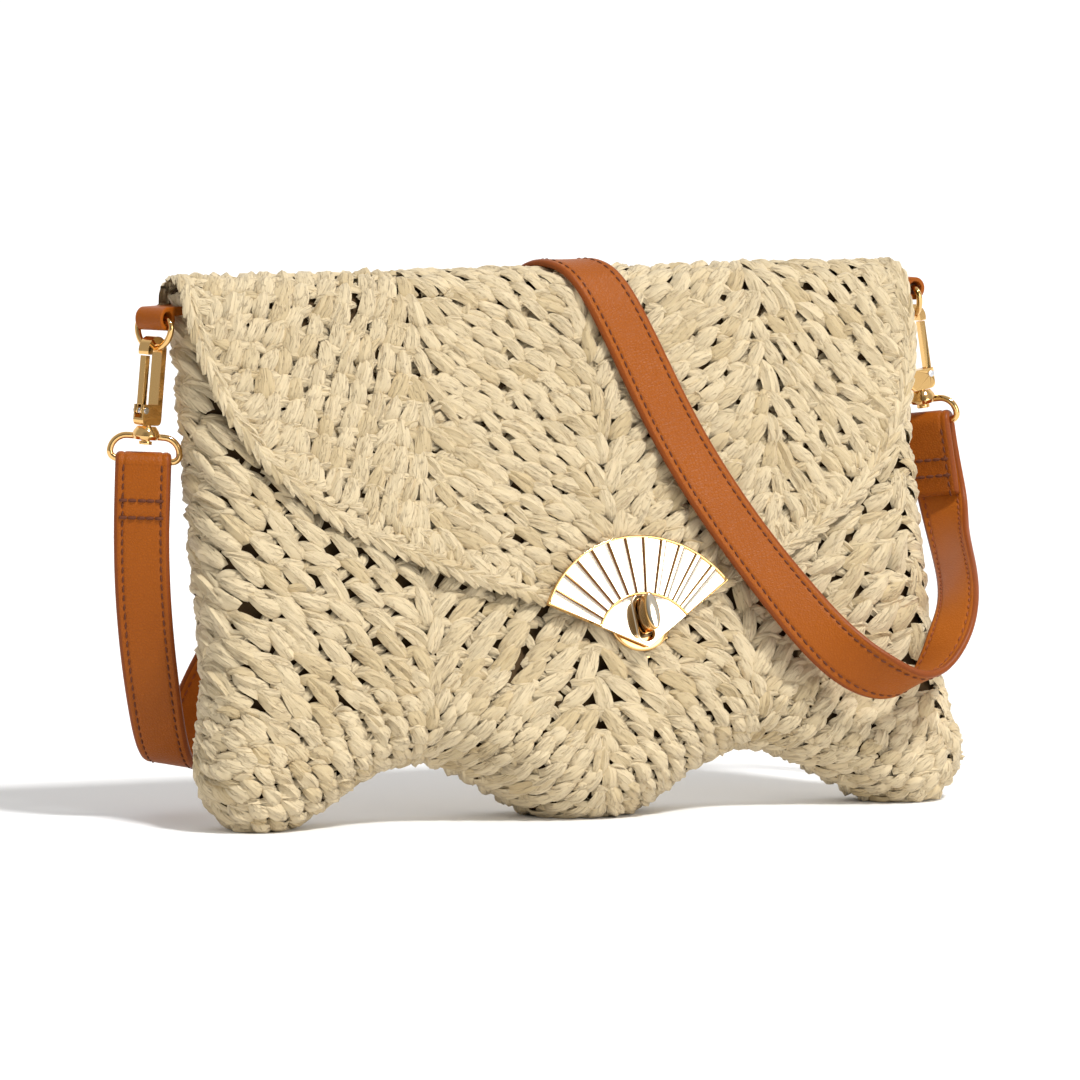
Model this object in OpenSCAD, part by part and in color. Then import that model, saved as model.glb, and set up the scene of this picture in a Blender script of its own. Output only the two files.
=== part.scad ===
// Crocheted raffia crossbody purse with a fan turn-lock and a clip-on leather strap.
// The bag stands on the flat of its lobes and leans back; -Y is its front.

/* [Bag] */
// Width across the sides
bag_w = 284; // [250:2:320]
// Height of the body along its own plane
bag_h = 197.5; // [180:0.5:220]
// Depth at the lobes
belly_d = 46; // [40:1:56]
// Depth at the top edge
top_d = 24; // [20:1:30]
// Thickness of the crocheted wall
wall_t = 4; // [3:0.5:5]
// Thickness of the fabric lining
lining_t = 1; // [0.6:0.2:1.4]
// Backward lean of the standing bag, in degrees
lean = 14; // [8:1:16]

/* [Lobes] */
// Distance between the middles of neighbouring lobes
lobe_pitch = 125; // [115:1:130]
// Height of the arches between the lobes
arch_h = 26; // [18:1:32]
// How far each outer lobe stands out past the side
foot_flare = 9; // [4:1:12]

/* [Flap] */
// Thickness of the crocheted flap
flap_t = 4; // [3:0.5:5]
// Space between the flap and the front panel
flap_gap = 1.2; // [0.8:0.2:2]

/* [Fan clasp] */
// Radius of the fan from its point to its rim
fan_r = 41.5; // [38:0.5:44]
// Radius of the smooth pivot plate
pivot_r = 19.5; // [18:0.5:21]
// Half of the fan's opening angle
fan_half = 60.5; // [55:0.5:64]
// Number of leaves in the fan
leaves = 12; // [8:1:14]
// Height of the turn-lock above the fan's point
lock_up = 11.5; // [11:0.5:13]
// Length of the turn-lock's blade
blade_l = 14; // [12:0.5:14]

/* [Strap] */
// Width of the leather strap
strap_w = 20; // [16:1:22]
// Thickness of the leather strap
strap_t = 3; // [2.4:0.2:3.4]

/* [Side clips] */
// Length of the clip's opening
clip_open = 19.5; // [16:0.5:21]
// Wire radius of the rings
wire_r = 1.15; // [1:0.05:1.3]
// Inside radius of the clip's hook
hook_r = 2.6; // [2.4:0.1:3]

/* [Hidden] */

bottom_r = belly_d / 2;
top_r = top_d / 2;
top_cz = bag_h - top_r;
// The round of the lobes reaches this far under the floor line, where it is cut flat
lobe_sink = 1.2;
bottom_cz = bottom_r - lobe_sink;
// Slope of the front and back faces between the two rounded ends of the side profile
face_tilt = asin((bottom_r - top_r) / (top_cz - bottom_cz));
// Radius of the plan's shallow curve, which leaves the sides 28 mm deep at the feet
plan_half = bag_w / 2 + foot_flare;
side_half_d = 14;
plan_r = (plan_half * plan_half + pow(bottom_r - side_half_d, 2)) / (2 * (bottom_r - side_half_d));
big = 400;
fine = 96;
cream = [0.86, 0.79, 0.62];
tan_leather = [0.75, 0.42, 0.2];
gold = [0.87, 0.72, 0.45];
beige = [0.72, 0.62, 0.45];

// ---- Frames ----

// The bag's own frame, leaned back about the floor line
module leaned() rotate([-lean, 0, 0]) children();

function lean_pt(p) = [p[0], p[1] * cos(lean) + p[2] * sin(lean), -p[1] * sin(lean) + p[2] * cos(lean)];

// Depth of the front face at a height between the rounded ends, at the middle of the bag
function face_y(z) = -(bottom_r / cos(face_tilt) - (z - bottom_cz) * tan(face_tilt));

// Lies on the front face at the fan's point: X to the right, Y up the face, Z outwards
fan_x = 19.6;
fan_z = 56.5;
fan_turn = 5;
module on_fan()
    leaned() translate([fan_x, face_y(fan_z), fan_z]) rotate([90 - face_tilt, 0, 0])
        rotate([0, 0, fan_turn]) children();

module at_lock() on_fan() translate([0, lock_up, 0]) children();

// ---- Bag body ----

wave_end = plan_half - 12;
function wave_z(x) = arch_h * (1 - cos(360 * x / lobe_pitch)) / 2 - 2;
function side_x(z) = bag_w / 2 + foot_flare * pow(max(0, 1 - max(0, z - 18) / 50), 2);

// Front outline of the body, drawn inwards by an even inset
module front_outline(inset = 0) {
    wave = [for (x = [-wave_end : 6 : wave_end]) [x * (1 - inset / plan_half), wave_z(x) + inset]];
    foot = [for (t = [10 : 20 : 90])
        [wave_end + 12 * sin(t) - inset, wave_z(wave_end) + 15 * (1 - cos(t)) + inset * cos(t)]];
    flank = [for (z = [30 : 12 : 78]) [side_x(z) - inset, z]];
    shoulder = [for (t = [0 : 22.5 : 67.5])
        [bag_w / 2 - inset - 10 * (1 - cos(t)), bag_h - inset - 10 * (1 - sin(t))]];
    right = concat(foot, flank, shoulder, [[bag_w / 2 - inset - 12, bag_h + 5]]);
    left = [for (i = [len(right) - 1 : -1 : 0]) [-right[i][0], right[i][1]]];
    polygon(concat(wave, right, left));
}

// Side outline: two rounds joined by straight faces, grown by an even offset
module side_outline(grow = 0) {
    c = cos(face_tilt);
    s = sin(face_tilt);
    rb = bottom_r + grow;
    rt = top_r + grow;
    translate([0, bottom_cz]) circle(r = rb, $fn = fine);
    translate([0, top_cz]) circle(r = rt, $fn = fine);
    polygon([[rb * c, bottom_cz + rb * s], [rt * c, top_cz + rt * s],
             [-rt * c, top_cz + rt * s], [-rb * c, bottom_cz + rb * s]]);
}

module plan_outline(grow = 0) intersection() {
    translate([0, plan_r - bottom_r]) circle(r = plan_r + grow, $fn = fine);
    translate([0, bottom_r - plan_r]) circle(r = plan_r + grow, $fn = fine);
}

// The side outline as a solid that runs across the bag
module side_prism(grow) rotate([90, 0, 90]) linear_extrude(big, center = true) side_outline(grow);

module body_solid(inset) intersection() {
    rotate([90, 0, 0]) linear_extrude(big, center = true) front_outline(inset);
    side_prism(-inset);
    translate([0, 0, -big / 2]) linear_extrude(big * 2) plan_outline(-inset);
}

mouth_w = bag_w - 30;
mouth_d = 12;
module mouth() translate([-mouth_w / 2, -mouth_d / 2, bag_h - 30]) cube([mouth_w, mouth_d, 40]);

module above_floor() translate([-big / 2, -big / 2, 0]) cube([big, big, big]);

// Slots in the side seams for the leather tabs
module tab_slots() for (side = [-1, 1]) at_tab(side) {
    translate([-2, -tab_w / 2, tab_low]) cube([24, tab_w, 2 * tab_leather]);
    tab_stud();
}

module shell() intersection() {
    leaned() difference() {
        body_solid(0);
        body_solid(wall_t);
        mouth();
    }
    above_floor();
}

// Holes in the front panel for the turn-lock's collar and prongs, and a seat for its washer
base_w = 26;
base_l = 29;
prong_y = 12;
module lock_holes() at_lock() {
    translate([0, 0, -0.6]) linear_extrude(3) stadium(base_w, base_l);
    translate([0, 0, -wall_t - 1]) cylinder(d = 8, h = wall_t + 2, $fn = fine);
    prongs(-wall_t - 1, wall_t + 2);
    translate([0, 0, -wall_t - 1.2]) cylinder(d = 34, h = 2.2, $fn = fine);
}

module prongs(z, h) for (s = [-1, 1]) translate([-2, s * prong_y - 0.4, z]) cube([4, 0.8, h]);

module front_panel() color(cream) difference() {
    intersection() {
        shell();
        leaned() translate([-big / 2, -big, -big / 2]) cube([big, big, big * 2]);
    }
    tab_slots();
    lock_holes();
}

module back_panel() color(cream) difference() {
    intersection() {
        shell();
        leaned() translate([-big / 2, 0, -big / 2]) cube([big, big, big * 2]);
    }
    tab_slots();
}

module lining() color(beige) difference() {
    leaned() difference() {
        body_solid(wall_t);
        body_solid(wall_t + lining_t);
        mouth();
    }
    tab_slots();
    at_lock() translate([0, 0, -wall_t - 2.5]) cylinder(d = 36, h = 4, $fn = fine);
}

// ---- Flap ----

hinge_y = 6;
edging_w = 10;

function bezier(p, t) =
    pow(1 - t, 3) * p[0] + 3 * t * pow(1 - t, 2) * p[1] + 3 * t * t * (1 - t) * p[2] + pow(t, 3) * p[3];
function curve(p, n) = [for (i = [0 : n]) bezier(p, i / n)];

// Curved lower edge of the flap on each side of the clasp
edge_left = [[-143, 192], [-137, 125], [-95, 98], [-17, 75]];
edge_right = [[57, 80], [112, 103], [146, 130], [142, 192]];

module flap_outline(inset = 0) {
    top = bag_h + 20;
    middle = [20, 150];
    shrink = 1 - inset / 75;
    edge = concat([[-143, top]], curve(edge_left, 10), [[fan_x, fan_z + 7]],
                  curve(edge_right, 10), [[142, top]]);
    polygon([for (p = edge)
        [middle[0] + (p[0] - middle[0]) * (1 - inset / 150),
         p[1] > bag_h ? top : middle[1] + (p[1] - middle[1]) * shrink]]);
}

module flap_skin() intersection() {
    difference() {
        side_prism(flap_gap + flap_t);
        side_prism(flap_gap);
        translate([-big / 2, hinge_y, -big / 2]) cube([big, big, big * 2]);
    }
    translate([0, 0, -big / 2]) linear_extrude(big * 2) plan_outline(flap_gap + flap_t);
}

// Window through the flap for the turn-lock, with seats for the backing plate
module flap_window() {
    at_lock() translate([-4, -16, -1]) cube([8, 26, 8]);
    on_fan() translate([0, 0, flap_gap - 1]) linear_extrude(1.8) backing_outline(0.1);
    on_fan() rivet_places() translate([0, 0, -1]) cylinder(r = rivet_hole_r, h = 8, $fn = 32);
}

module flap_panel() color(cream) difference() {
    leaned() intersection() {
        flap_skin();
        rotate([90, 0, 0]) linear_extrude(big, center = true) flap_outline(edging_w);
    }
    flap_window();
}

module flap_edging() color(cream) difference() {
    leaned() intersection() {
        flap_skin();
        rotate([90, 0, 0]) linear_extrude(big, center = true) difference() {
            flap_outline(0);
            flap_outline(edging_w);
        }
    }
    flap_window();
}

// ---- Fan clasp, on the flap ----

plate_z = flap_gap + flap_t;
plate_t = 0.8;
rivet_r = 1.2;
rivet_hole_r = 1.26;
slot_w = 6;
slot_over = 0.6;
slot_under = 2.4;

// A slice of a disc about the fan's point, between two radii
module fan_slice(r0, r1, half) difference() {
    intersection() {
        circle(r = r1, $fn = fine);
        polygon([[0, 0], [-big * sin(half), big * cos(half)],
                 [0, big], [big * sin(half), big * cos(half)]]);
    }
    if (r0 > 0) circle(r = r0, $fn = fine);
}

// The oval hole that passes over the turn-lock, longer below for the swing of the flap
module slot_outline(grow = 0) {
    top = lock_up + blade_l / 2 + slot_over - slot_w / 2;
    low = lock_up - blade_l / 2 - slot_under + slot_w / 2;
    for (y = [low, top]) translate([0, y]) circle(d = slot_w + 2 * grow, $fn = fine);
    translate([-slot_w / 2 - grow, low]) square([slot_w + 2 * grow, top - low]);
}

module backing_outline(grow = 0) difference() {
    fan_slice(0, 34 + grow, 50);
    translate([0, -1]) square([60, 12], center = true);
}

module rivet_places() for (a = [-36, -12, 12, 36]) rotate([0, 0, a]) translate([0, 30, 0]) children();

module fan_base_plate() color(gold) on_fan() translate([0, 0, plate_z]) difference() {
    linear_extrude(plate_t) difference() {
        fan_slice(0, fan_r, fan_half);
        slot_outline(0);
    }
    rivet_places() translate([0, 0, -1]) cylinder(r = rivet_hole_r, h = 3, $fn = 32);
}

leaf_step = 2 * fan_half / leaves;

// Flat leaves with a thin raised rib on each fold
module fan_leaves() color(gold) on_fan() translate([0, 0, plate_z + plate_t]) {
    linear_extrude(0.7) fan_slice(pivot_r + 0.8, fan_r - 0.9, fan_half - 0.9);
    translate([0, 0, 0.3]) linear_extrude(1) intersection() {
        fan_slice(pivot_r + 1.2, fan_r - 1.3, fan_half - 1.3);
        for (i = [1 : leaves - 1])
            rotate([0, 0, fan_half - i * leaf_step]) translate([-0.55, 0]) square([1.1, fan_r]);
    }
}

module fan_rim() color(gold) on_fan() translate([0, 0, plate_z + plate_t])
    linear_extrude(1.5) difference() {
    fan_slice(pivot_r, fan_r, fan_half);
    fan_slice(pivot_r + 0.8, fan_r - 0.9, fan_half - 0.9);
}

module fan_pivot_plate() color(gold) on_fan() translate([0, 0, plate_z + plate_t]) {
    linear_extrude(0.9) difference() {
        fan_slice(0, pivot_r, fan_half);
        slot_outline(0);
    }
    translate([0, 0, 0.4]) linear_extrude(1) intersection() {
        circle(r = pivot_r - 0.2, $fn = fine);
        difference() {
            slot_outline(0.7);
            slot_outline(0);
        }
    }
}

module fan_backing_plate() color("silver") on_fan() translate([0, 0, flap_gap]) difference() {
    linear_extrude(0.8) difference() {
        backing_outline(0);
        translate([0, 8]) square([9, 40], center = true);
    }
    rivet_places() translate([0, 0, -1]) cylinder(r = rivet_hole_r, h = 3, $fn = 32);
}

module fan_rivets() color("silver") on_fan() rivet_places() {
    translate([0, 0, flap_gap]) cylinder(r = rivet_r, h = flap_t + plate_t, $fn = 32);
    translate([0, 0, flap_gap - 0.4]) cylinder(r = 2, h = 0.4, $fn = 32);
}

// ---- Turn-lock, on the front panel ----

collar_top = 6.9;
shaft_r = 1.6;
shaft_gap = 0.05;
blade_z = 7.6;
blade_t = 8.4;

module stadium(w, l) {
    for (s = [-1, 1]) translate([0, s * (l - w) / 2]) circle(d = w, $fn = fine);
    square([w, l - w], center = true);
}

module turnlock_base() color(gold) at_lock() difference() {
    union() {
        translate([0, 0, -0.6]) linear_extrude(0.8) stadium(base_w, base_l);
        linear_extrude(collar_top) stadium(slot_w - 1.2, blade_l - 0.8);
        prongs(-wall_t + 1, wall_t - 1.2);
    }
    translate([0, 0, -5]) cylinder(r = shaft_r + shaft_gap, h = 20, $fn = fine);
}

module turnlock_washer() color("silver") at_lock() translate([0, 0, -wall_t]) difference() {
    cylinder(d = 32, h = 0.8, $fn = fine);
    translate([0, 0, -1]) cylinder(d = 9, h = 3, $fn = fine);
    prongs(-1, 3);
}

// Oval blade whose long edges are rounded over
module turnlock_knob() color(gold) at_lock() difference() {
    union() {
        translate([0, 0, blade_z + 0.6]) linear_extrude(blade_t - 1.2) stadium(5.4, blade_l);
        translate([0, 0, blade_z]) linear_extrude(blade_t) stadium(4.4, blade_l - 1);
    }
    translate([0, 0, blade_z - 1]) cylinder(r = shaft_r, h = 3, $fn = fine);
}

module turnlock_spindle() color(gold) at_lock() {
    translate([0, 0, -2.2]) cylinder(r = shaft_r, h = blade_z + 4.2, $fn = fine);
    translate([0, 0, -3]) cylinder(r = 3, h = 1.6, $fn = fine);
    translate([0, 0, collar_top + 0.1]) cylinder(r = 2.1, h = blade_z - collar_top - 0.1, $fn = fine);
}

// ---- Side hardware: tab, ring, clip, swivel eye. Local X points away from the bag, Z up ----

tab_w = 12;
tab_leather = 1.6;
tab_in = 2.6;
tab_low = 1;
ring_half = 7.7;
ring_drop = 10.9;
corner_r = 3.2;
hook_c = ring_drop - wire_r - 0.9 + hook_r;
hook_bar = 2.6;
hook_t = 4.6;
block_top = -hook_c - clip_open;
block_h = 7.5;
block_low = block_top - block_h;
gate_pin_z = block_top - 2.2;
gate_x = 3.9;
pin_r = 0.8;
pin_gap = 0.05;
spindle_r = 1.6;
eye_top = block_low - 4;
eye_drop = 8.5;
eye_bar = eye_top - eye_drop;
eye_half = 12.5;
eye_corner = 2.5;
eye_wire = 1.2;

tab_pos = [[-151, 40, 182], [149, 46, 186]];
tab_turn = [-30, 8];
clip_tilt = [5, 9];
eye_turn = [-67, 48];
function index(side) = side < 0 ? 0 : 1;

module at_tab(side)
    translate(tab_pos[index(side)]) mirrored(side) rotate([0, 0, tab_turn[index(side)] + 180]) children();
module at_clip(side) translate(tab_pos[index(side)]) mirrored(side) rotate([0, -clip_tilt[index(side)], 0])
    rotate([0, 0, tab_turn[index(side)]]) children();
module at_eye(side) translate(tab_pos[index(side)]) mirrored(side) rotate([0, -clip_tilt[index(side)], 0])
    rotate([0, 0, eye_turn[index(side)]]) children();
module mirrored(side) mirror([side < 0 ? 1 : 0, 0, 0]) children();

// Folded strip sewn into the side seam, with its loop round the ring
module tab_strip() difference() {
    union() {
        rotate([90, 0, 0]) cylinder(r = tab_in + tab_leather, h = tab_w, center = true, $fn = fine);
        translate([0, -tab_w / 2, tab_low]) cube([20, tab_w, 2 * tab_leather]);
    }
    rotate([90, 0, 0]) cylinder(r = tab_in, h = tab_w + 2, center = true, $fn = fine);
    translate([13, 0, -5]) cylinder(r = 1.25, h = 15, $fn = 32);
}

module tab_stud() {
    translate([13, 0, tab_low - 0.8]) cylinder(r = 1.25, h = 2 * tab_leather + 1.6, $fn = 32);
}

// A quarter or half of a wire ring in the local YZ plane
module wire_arc(r, wire, from, sweep)
    rotate([0, -90, 0]) rotate([0, 0, from]) rotate_extrude(angle = sweep, $fn = fine)
        translate([r, 0]) circle(r = wire, $fn = 32);

module wire_bar(p, length, wire)
    translate(p) rotate([90, 0, 0]) cylinder(r = wire, h = length, center = true, $fn = 32);

// D ring: a straight bar in the loop and a half round below
module d_ring() {
    wire_bar([0, 0, 0], 2 * (ring_half - corner_r), wire_r);
    for (s = [-1, 1]) mirror([0, s < 0 ? 1 : 0, 0])
        translate([0, ring_half - corner_r, -corner_r]) wire_arc(corner_r, wire_r, 0, 90);
    translate([0, 0, -corner_r]) wire_arc(ring_drop - corner_r, wire_r, 90, 180);
}

// Outline of the clip's frame in its own XZ plane
module hook_outline() {
    r1 = hook_r + hook_bar;
    difference() {
        union() {
            translate([0, -hook_c]) circle(r = r1, $fn = fine);
            translate([-r1, block_top]) square([hook_bar, clip_open]);
            translate([-r1, block_low + 2]) square([2 * r1, block_h - 2]);
            translate([-r1 + 2, block_low]) square([2 * r1 - 4, block_h]);
            for (s = [-1, 1]) translate([s * (r1 - 2), block_low + 2]) circle(r = 2, $fn = fine);
        }
        translate([0, -hook_c]) circle(r = hook_r, $fn = fine);
        translate([-hook_r, block_top]) square([2 * hook_r, clip_open]);
        translate([-hook_r, -hook_c - 12]) square([20, 10.5]);
    }
}

module clip_hook() difference() {
    rotate([90, 0, 0]) linear_extrude(hook_t, center = true) hook_outline();
    // Fork for the gate's knuckle, and its pin hole
    translate([hook_r - 0.6, -1.6, block_top - 4.8]) cube([6, 3.2, 6]);
    translate([gate_x, 0, gate_pin_z]) rotate([90, 0, 0])
        cylinder(r = pin_r, h = 10, center = true, $fn = 32);
    translate([0, 0, block_low - 1]) cylinder(r = spindle_r, h = 4.5, $fn = fine);
}

// Lever that closes the clip, hinged in the fork at its foot
gate_top = -hook_c - 1.9;
module clip_gate() difference() {
    union() {
        translate([hook_r + 0.1, -1.3, gate_pin_z]) cube([2.4, 2.6, gate_top - gate_pin_z]);
        translate([gate_x, 0, gate_pin_z]) rotate([90, 0, 0])
            cylinder(r = 1.5, h = 2.6, center = true, $fn = fine);
    }
    translate([gate_x, 0, gate_pin_z]) rotate([90, 0, 0])
        cylinder(r = pin_r + pin_gap, h = 10, center = true, $fn = 32);
    translate([hook_r - 1, -0.7, gate_pin_z - 2]) cube([5, 1.4, 4.2]);
}

module gate_pin() translate([gate_x, 0, gate_pin_z]) rotate([90, 0, 0]) {
    cylinder(r = pin_r, h = hook_t, center = true, $fn = 32);
    for (s = [-1, 1]) translate([0, 0, s * (hook_t / 2 + 0.2)])
        cylinder(r = 1.2, h = 0.4, center = true, $fn = 32);
}

// Turns of spring wire round the pin, between the gate's two ears
module gate_spring() translate([gate_x, 0, gate_pin_z]) rotate([90, 0, 0]) for (i = [-1, 0, 1])
    translate([0, 0, i * 0.4]) rotate_extrude($fn = 48)
        translate([pin_r + 0.3, 0]) circle(r = 0.18, $fn = 16);

module swivel_spindle() {
    translate([0, 0, eye_top - eye_wire - 0.5])
        cylinder(r = spindle_r, h = block_low + 3.5 - eye_top + eye_wire + 0.5, $fn = fine);
    translate([0, 0, eye_top - eye_wire - 1.7]) cylinder(r = 2.4, h = 1.2, $fn = fine);
}

// Bell-shaped boss with the strap's flat eye under it
module swivel_eye() difference() {
    union() {
        translate([0, 0, eye_top - eye_wire]) rotate_extrude($fn = fine)
            polygon([[0, 0], [4.2, 0], [5.2, 1.4], [4.6, 3.2], [3.4, 4.9], [0, 4.9]]);
        eye_wires();
    }
    translate([0, 0, eye_top - 6]) cylinder(r = spindle_r + shaft_gap, h = 20, $fn = fine);
    translate([0, 0, eye_top - eye_wire - 5]) cylinder(r = 3, h = 5, $fn = fine);
}

upper_r = eye_drop - eye_corner;
module eye_wires() {
    wire_bar([0, 0, eye_bar], 2 * (eye_half - eye_corner), eye_wire);
    wire_bar([0, 0, eye_top], 2 * (eye_half - upper_r), eye_wire);
    for (s = [-1, 1]) mirror([0, s < 0 ? 1 : 0, 0]) {
        translate([0, eye_half - upper_r, eye_top - upper_r]) wire_arc(upper_r, eye_wire, 0, 90);
        translate([0, eye_half - eye_corner, eye_bar + eye_corner]) wire_arc(eye_corner, eye_wire, 90, 90);
    }
}

module tab_left() color(tan_leather) at_tab(-1) tab_strip();
module tab_right() color(tan_leather) at_tab(1) tab_strip();
module tab_stud_left() color(gold) at_tab(-1) tab_stud();
module tab_stud_right() color(gold) at_tab(1) tab_stud();
module tab_ring_left() color(gold) at_clip(-1) d_ring();
module tab_ring_right() color(gold) at_clip(1) d_ring();
module clip_hook_left() color(gold) at_clip(-1) clip_hook();
module clip_hook_right() color(gold) at_clip(1) clip_hook();
module clip_gate_left() color(gold) at_clip(-1) clip_gate();
module clip_gate_right() color(gold) at_clip(1) clip_gate();
module gate_pin_left() color(gold) at_clip(-1) gate_pin();
module gate_pin_right() color(gold) at_clip(1) gate_pin();
module gate_spring_left() color("silver") at_clip(-1) gate_spring();
module gate_spring_right() color("silver") at_clip(1) gate_spring();
module swivel_spindle_left() color(gold) at_clip(-1) swivel_spindle();
module swivel_spindle_right() color(gold) at_clip(1) swivel_spindle();
module swivel_eye_left() color(gold) at_eye(-1) swivel_eye();
module swivel_eye_right() color(gold) at_eye(1) swivel_eye();

// ---- Strap ----

// Fold of the strap's end round the eye's bar, and its tail behind the strap
fold_gap = 0.3;
fold_in = eye_wire + fold_gap;
tail_l = 27;
module strap_end() translate([0, 0, eye_bar]) {
    difference() {
        rotate([90, 0, 0]) cylinder(r = fold_in + strap_t, h = strap_w, center = true, $fn = fine);
        rotate([90, 0, 0]) cylinder(r = fold_in, h = strap_w + 2, center = true, $fn = fine);
        translate([-10, -15, -20]) cube([20, 30, 20]);
    }
    translate([-fold_in - strap_t, -strap_w / 2, -tail_l]) cube([strap_t, strap_w, tail_l]);
}

module strap_end_left() color(tan_leather) at_eye(-1) strap_end();
module strap_end_right() color(tan_leather) at_eye(1) strap_end();

// Middle line of the strap from the left eye, under and up behind the bag, over the flap, round at
// the lower right and up to the right eye. Each entry is a point and the strap's outward direction.
crest_r = 19.1;
function crest(x, a) =
    [lean_pt([x, crest_r * sin(a), top_cz + crest_r * cos(a)]), lean_pt([0, sin(a), cos(a)])];
function front(x, y, z) = [lean_pt([x, y, z]), lean_pt([0, -1, 0])];
strap_route = [
    [[-157, 37, 130], [-0.39, -0.92, 0]],
    [[-158, 36, 112], [-0.39, -0.92, 0]],
    [[-158, 36, 90], [-0.39, -0.92, 0]],
    [[-156, 37, 66], [-0.42, -0.9, -0.05]],
    [[-152, 40, 44], [-0.5, -0.84, -0.2]],
    [[-146, 48, 26], [-0.5, -0.6, -0.6]],
    [[-137, 60, 18], [-0.2, -0.1, -1]],
    [[-127, 73, 25], [0, 0.6, -0.8]],
    [[-117, 79, 44], [0, 0.95, -0.25]],
    [[-104, 78, 66], [0, 1, 0]],
    [[-86, 75, 90], [0, 1, 0.05]],
    [[-64, 72, 114], [0, 1, 0.1]],
    [[-42, 70, 138], [0, 1, 0.15]],
    [[-21, 70, 161], [0, 1, 0.2]],
    crest(-4, 86),
    crest(4, 40),
    crest(9, 0),
    crest(15, -40),
    crest(20, -78),
    front(28, -20.8, 169),
    front(40, -23.6, 135),
    front(54, -28, 106),
    front(67, -31, 84),
    [[88, -22, 60], [-0.05, -0.98, -0.15]],
    [[104, -27, 49], [-0.1, -0.85, -0.5]],
    [[119.7, -26, 45], [0.1, -0.35, -0.93]],
    [[131.2, -21.3, 53.5], [0.45, 0.1, -0.88]],
    [[139.6, -16.6, 66.5], [0.75, 0.35, -0.55]],
    [[150.6, 3.0, 78.3], [0.85, 0.45, -0.28]],
    [[160.5, 31, 90.5], [0.87, 0.48, -0.1]],
    [[164.4, 45, 104.3], [0.76, 0.64, 0]],
    [[161.7, 48.3, 120.5], [0.68, 0.73, 0.08]],
    [[159.2, 48.3, 135.5], [0.66, 0.74, 0.11]]
];

function unit(v) = v / norm(v);
function spline(a, b, c, d, t) =
    0.5 * (2 * b + (c - a) * t + (2 * a - 5 * b + 4 * c - d) * t * t + (3 * b - a - 3 * c + d) * t * t * t);
last = len(strap_route) - 1;
function route(i, k) = strap_route[min(max(i, 0), last)][k];
steps = 2;
rings = last * steps;
function on_route(j, k) = let (i = min(floor(j / steps), last - 1), t = j / steps - i)
    spline(route(i - 1, k), route(i, k), route(i + 1, k), route(i + 2, k), t);

// Corners of the strap's cross-section at one ring
function strap_ring(j) = let (
    p = on_route(j, 0),
    along = unit(on_route(min(j + 0.2, rings), 0) - on_route(max(j - 0.2, 0), 0)),
    outward = unit(on_route(j, 1) - along * (on_route(j, 1) * along)),
    across = cross(along, outward) * strap_w / 2,
    thick = outward * strap_t / 2)
    [p + across + thick, p - across + thick, p - across - thick, p + across - thick];

module strap() color(tan_leather) {
    points = [for (j = [0 : rings]) each strap_ring(j)];
    sides = [for (j = [0 : rings - 1], k = [0 : 3]) each [
        [4 * j + k, 4 * j + (k + 1) % 4, 4 * (j + 1) + k],
        [4 * j + (k + 1) % 4, 4 * (j + 1) + (k + 1) % 4, 4 * (j + 1) + k]]];
    polyhedron(points, concat([[3, 2, 1, 0]], sides, [[for (k = [0 : 3]) 4 * rings + k]]));
}

front_panel();
back_panel();
lining();
flap_panel();
flap_edging();
fan_base_plate();
fan_leaves();
fan_rim();
fan_pivot_plate();
fan_backing_plate();
fan_rivets();
turnlock_base();
turnlock_washer();
turnlock_knob();
turnlock_spindle();
tab_left();
tab_right();
tab_stud_left();
tab_stud_right();
tab_ring_left();
tab_ring_right();
clip_hook_left();
clip_hook_right();
clip_gate_left();
clip_gate_right();
gate_pin_left();
gate_pin_right();
gate_spring_left();
gate_spring_right();
swivel_spindle_left();
swivel_spindle_right();
swivel_eye_left();
swivel_eye_right();
strap();
strap_end_left();
strap_end_right();
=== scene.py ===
"""Crochet crossbody purse with a fan clasp and a leather strap: the visual model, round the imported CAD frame."""
import math

import bmesh
import bpy
import numpy as np
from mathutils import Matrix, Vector


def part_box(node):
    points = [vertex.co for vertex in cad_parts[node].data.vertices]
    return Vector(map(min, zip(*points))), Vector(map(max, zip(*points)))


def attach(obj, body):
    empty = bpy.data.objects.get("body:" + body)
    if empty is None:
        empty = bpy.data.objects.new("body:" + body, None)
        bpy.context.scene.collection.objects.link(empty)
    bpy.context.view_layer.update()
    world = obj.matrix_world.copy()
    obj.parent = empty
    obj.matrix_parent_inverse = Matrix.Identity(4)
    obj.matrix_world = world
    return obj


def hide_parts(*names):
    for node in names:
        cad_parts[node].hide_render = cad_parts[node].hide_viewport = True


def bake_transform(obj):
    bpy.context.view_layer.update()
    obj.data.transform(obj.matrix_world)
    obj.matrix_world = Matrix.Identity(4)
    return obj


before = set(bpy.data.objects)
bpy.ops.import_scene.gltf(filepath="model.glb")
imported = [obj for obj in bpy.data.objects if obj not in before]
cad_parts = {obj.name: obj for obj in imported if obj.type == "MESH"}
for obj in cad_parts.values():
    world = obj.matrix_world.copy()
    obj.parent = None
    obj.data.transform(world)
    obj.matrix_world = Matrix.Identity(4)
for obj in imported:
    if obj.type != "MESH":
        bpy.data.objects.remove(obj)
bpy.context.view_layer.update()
MM = 0.001

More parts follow.
